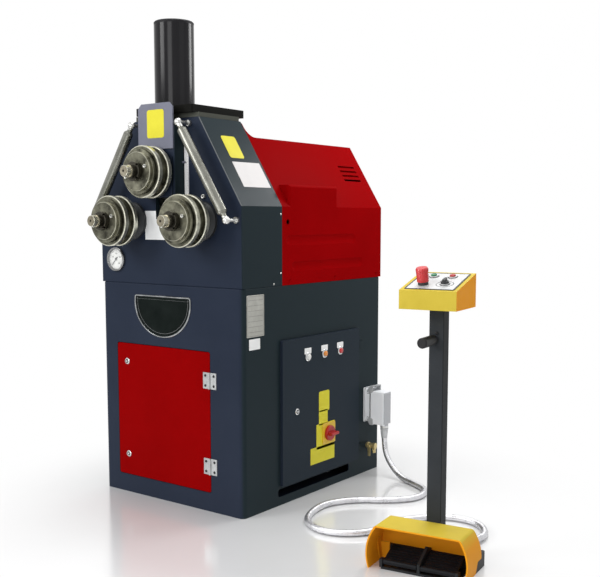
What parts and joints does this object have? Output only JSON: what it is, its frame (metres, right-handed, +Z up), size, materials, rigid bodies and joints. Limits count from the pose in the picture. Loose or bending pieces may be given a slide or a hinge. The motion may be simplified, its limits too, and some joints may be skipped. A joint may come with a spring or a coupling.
{
  "type": "ring roller",
  "caption": "Hydraulic section bender: three flanged rolls on a cabinet head, top roll on a cylinder-driven carriage, and a foot and hand control pedestal on a conduit.",
  "frame": {"origin": "on the floor under the centre of the machine's cabinet footprint", "axes": "+Z up, +X to the right seen from the roll side, +Y from the roll side towards the rear hood"},
  "size_m": [1.7309, 1.184, 1.883],
  "materials": {
    "dark_panel": "semi-gloss structured paint",
    "grey_panel": "satin paint",
    "red_paint": "gloss paint",
    "yellow_paint": "semi-gloss paint",
    "black_paint": "satin paint",
    "green_black": "gloss paint",
    "oiled_steel": "turned and oiled",
    "bright_steel": "turned",
    "gear_steel": "ground",
    "cast": "painted casting",
    "chrome_trim": "polished",
    "zinc": "zinc plated",
    "grey_plastic": "moulded",
    "black_plastic": "moulded",
    "red_plastic": "moulded",
    "green_plastic": "moulded",
    "lens": "clear moulded",
    "yellow_plate": "printed blank",
    "white_plate": "satin",
    "brass_body": "machined",
    "pvc": "ribbed sheath",
    "grip_rubber": "moulded"
  },
  "bodies": {
    "machine": {"base_cabinet": "dark_panel", "hinge_brackets": "zinc", "electrical_backplate": "zinc", "head_housing": "dark_panel", "top_plate": "black_paint", "cylinder_barrel": "green_black", "cylinder_heads": "green_black", "slide_gibs": "gear_steel", "position_scale": "white_plate", "bearing_housings": "cast", "gear_motor": "cast", "rear_hood": "red_paint", "hydraulic_tank": "grey_panel", "pump_motor": "cast", "valve_block": "zinc", "gauge_case": "chrome_trim", "connector_base": "grey_plastic", "connector_hood": "grey_plastic", "conduit_glands": "zinc", "drain_valve": "brass_body", "guide_bars": "bright_steel", "pedestal_base": "black_paint", "pedal_guard": "yellow_paint", "pedestal_post": "black_paint", "hand_grip": "grip_rubber", "console_box": "yellow_paint", "console_panel": "yellow_plate", "conduit": "pvc"},
    "carriage_body": {"carriage": "black_paint", "carriage_cover": "grey_panel", "piston_rod": "chrome_trim"},
    "top_roll_body": {"top_shaft": "bright_steel", "top_roll": "oiled_steel"},
    "left_roll_body": {"left_shaft": "bright_steel", "left_roll": "oiled_steel", "left_gear": "gear_steel"},
    "right_roll_body": {"right_shaft": "bright_steel", "right_roll": "oiled_steel", "right_gear": "gear_steel"},
    "pinion_body": {"drive_pinion": "gear_steel"},
    "front_door_body": {"front_door": "red_paint", "door_hinges": "red_paint"},
    "lock_upper_body": {"door_lock_upper": "chrome_trim"},
    "lock_lower_body": {"door_lock_lower": "chrome_trim"},
    "electrical_door_body": {"electrical_door": "grey_panel", "main_switch_plate": "yellow_plate", "pilot_lights": "lens"},
    "electrical_lock_body": {"electrical_lock": "chrome_trim"},
    "main_switch_body": {"main_switch_handle": "red_plastic"},
    "needle_body": {"gauge_needle": "black_paint"},
    "lever_upper_body": {"connector_lever_upper": "zinc"},
    "lever_lower_body": {"connector_lever_lower": "zinc"},
    "drain_lever_body": {"drain_lever": "zinc"},
    "pedal_left_body": {"pedal_left": "black_paint"},
    "pedal_right_body": {"pedal_right": "black_paint"},
    "estop_body": {"estop_button": "red_plastic"},
    "start_body": {"start_button": "green_plastic"},
    "stop_body": {"stop_button": "red_plastic"},
    "selector_body": {"selector_knob": "black_plastic"}
  },
  "joints": [
    {"name": "carriage_travel", "type": "slide", "parent": "machine", "child": "carriage_body", "axis": [0, 0, 1], "range_m": [-0.105, 0.03]},
    {"name": "top_roll_spin", "type": "hinge", "parent": "carriage_body", "child": "top_roll_body", "pos_m": [0, -0.48, 1.307], "axis": [0, 1, 0], "continuous": true},
    {"name": "left_roll_spin", "type": "hinge", "parent": "machine", "child": "left_roll_body", "pos_m": [-0.187, -0.48, 1.123], "axis": [0, 1, 0], "continuous": true},
    {"name": "right_roll_spin", "type": "hinge", "parent": "machine", "child": "right_roll_body", "pos_m": [0.187, -0.48, 1.123], "axis": [0, 1, 0], "continuous": true},
    {"name": "pinion_spin", "type": "hinge", "parent": "machine", "child": "pinion_body", "pos_m": [0, -0.48, 1.05207], "axis": [0, 1, 0], "continuous": true},
    {"name": "front_door_swing", "type": "hinge", "parent": "machine", "child": "front_door_body", "pos_m": [0.215, -0.48445, 0.35], "axis": [0, 0, 1], "range_deg": [0, 110]},
    {"name": "door_lock_upper_turn", "type": "hinge", "parent": "front_door_body", "child": "lock_upper_body", "pos_m": [-0.24, -0.48, 0.55], "axis": [0, 1, 0], "range_deg": [0, 90]},
    {"name": "door_lock_lower_turn", "type": "hinge", "parent": "front_door_body", "child": "lock_lower_body", "pos_m": [-0.24, -0.48, 0.162], "axis": [0, 1, 0], "range_deg": [0, 90]},
    {"name": "electrical_door_swing", "type": "hinge", "parent": "machine", "child": "electrical_door_body", "pos_m": [0.386, 0.296, 0.35], "axis": [0, 0, 1], "range_deg": [0, 110]},
    {"name": "electrical_lock_turn", "type": "hinge", "parent": "electrical_door_body", "child": "electrical_lock_body", "pos_m": [0.39, -0.16, 0.363], "axis": [-1, 0, 0], "range_deg": [0, 90]},
    {"name": "main_switch_turn", "type": "hinge", "parent": "electrical_door_body", "child": "main_switch_body", "pos_m": [0.39, 0.058, 0.238], "axis": [1, 0, 0], "range_deg": [0, 90]},
    {"name": "needle_turn", "type": "hinge", "parent": "machine", "child": "needle_body", "pos_m": [-0.29, -0.48, 0.967], "axis": [0, 1, 0], "range_deg": [0, 270]},
    {"name": "connector_lever_upper_swing", "type": "hinge", "parent": "machine", "child": "lever_upper_body", "pos_m": [0.403, 0.383, 0.366], "axis": [0, 1, 0], "range_deg": [-50, 0]},
    {"name": "connector_lever_lower_swing", "type": "hinge", "parent": "machine", "child": "lever_lower_body", "pos_m": [0.403, 0.383, 0.251], "axis": [0, 1, 0], "range_deg": [0, 50]},
    {"name": "drain_lever_turn", "type": "hinge", "parent": "machine", "child": "drain_lever_body", "pos_m": [0.402, 0.3615, 0.12], "axis": [0, 1, 0], "range_deg": [-90, 0]},
    {"name": "pedal_left_press", "type": "hinge", "parent": "machine", "child": "pedal_left_body", "pos_m": [1.11961, -0.57624, 0.024], "axis": [0.9914, 0.1305, 0], "range_deg": [-8, 0], "stiffness_Nm_per_rad": 4, "springref_deg": 20.05},
    {"name": "pedal_right_press", "type": "hinge", "parent": "machine", "child": "pedal_right_body", "pos_m": [1.2485, -0.55927, 0.024], "axis": [0.9914, 0.1305, 0], "range_deg": [-8, 0], "stiffness_Nm_per_rad": 4, "springref_deg": 20.05},
    {"name": "estop_press", "type": "slide", "parent": "machine", "child": "estop_body", "axis": [-0.0331, 0.2515, -0.9673], "range_m": [0, 0.004], "stiffness_N_per_m": 1500, "springref_m": -0.006},
    {"name": "start_press", "type": "slide", "parent": "machine", "child": "start_body", "axis": [-0.0331, 0.2515, -0.9673], "range_m": [0, 0.003], "stiffness_N_per_m": 600, "springref_m": -0.004},
    {"name": "stop_press", "type": "slide", "parent": "machine", "child": "stop_body", "axis": [-0.0331, 0.2515, -0.9673], "range_m": [0, 0.003], "stiffness_N_per_m": 600, "springref_m": -0.004},
    {"name": "selector_turn", "type": "hinge", "parent": "machine", "child": "selector_body", "pos_m": [1.2046, -0.46333, 0.92475], "axis": [0.0331, -0.2515, 0.9673], "range_deg": [-45, 45]}
  ],
  "couplings": [
    {"joint": "pinion_spin", "follows": "left_roll_spin", "ratio": -1.7778},
    {"joint": "right_roll_spin", "follows": "left_roll_spin", "ratio": 1}
  ]
}
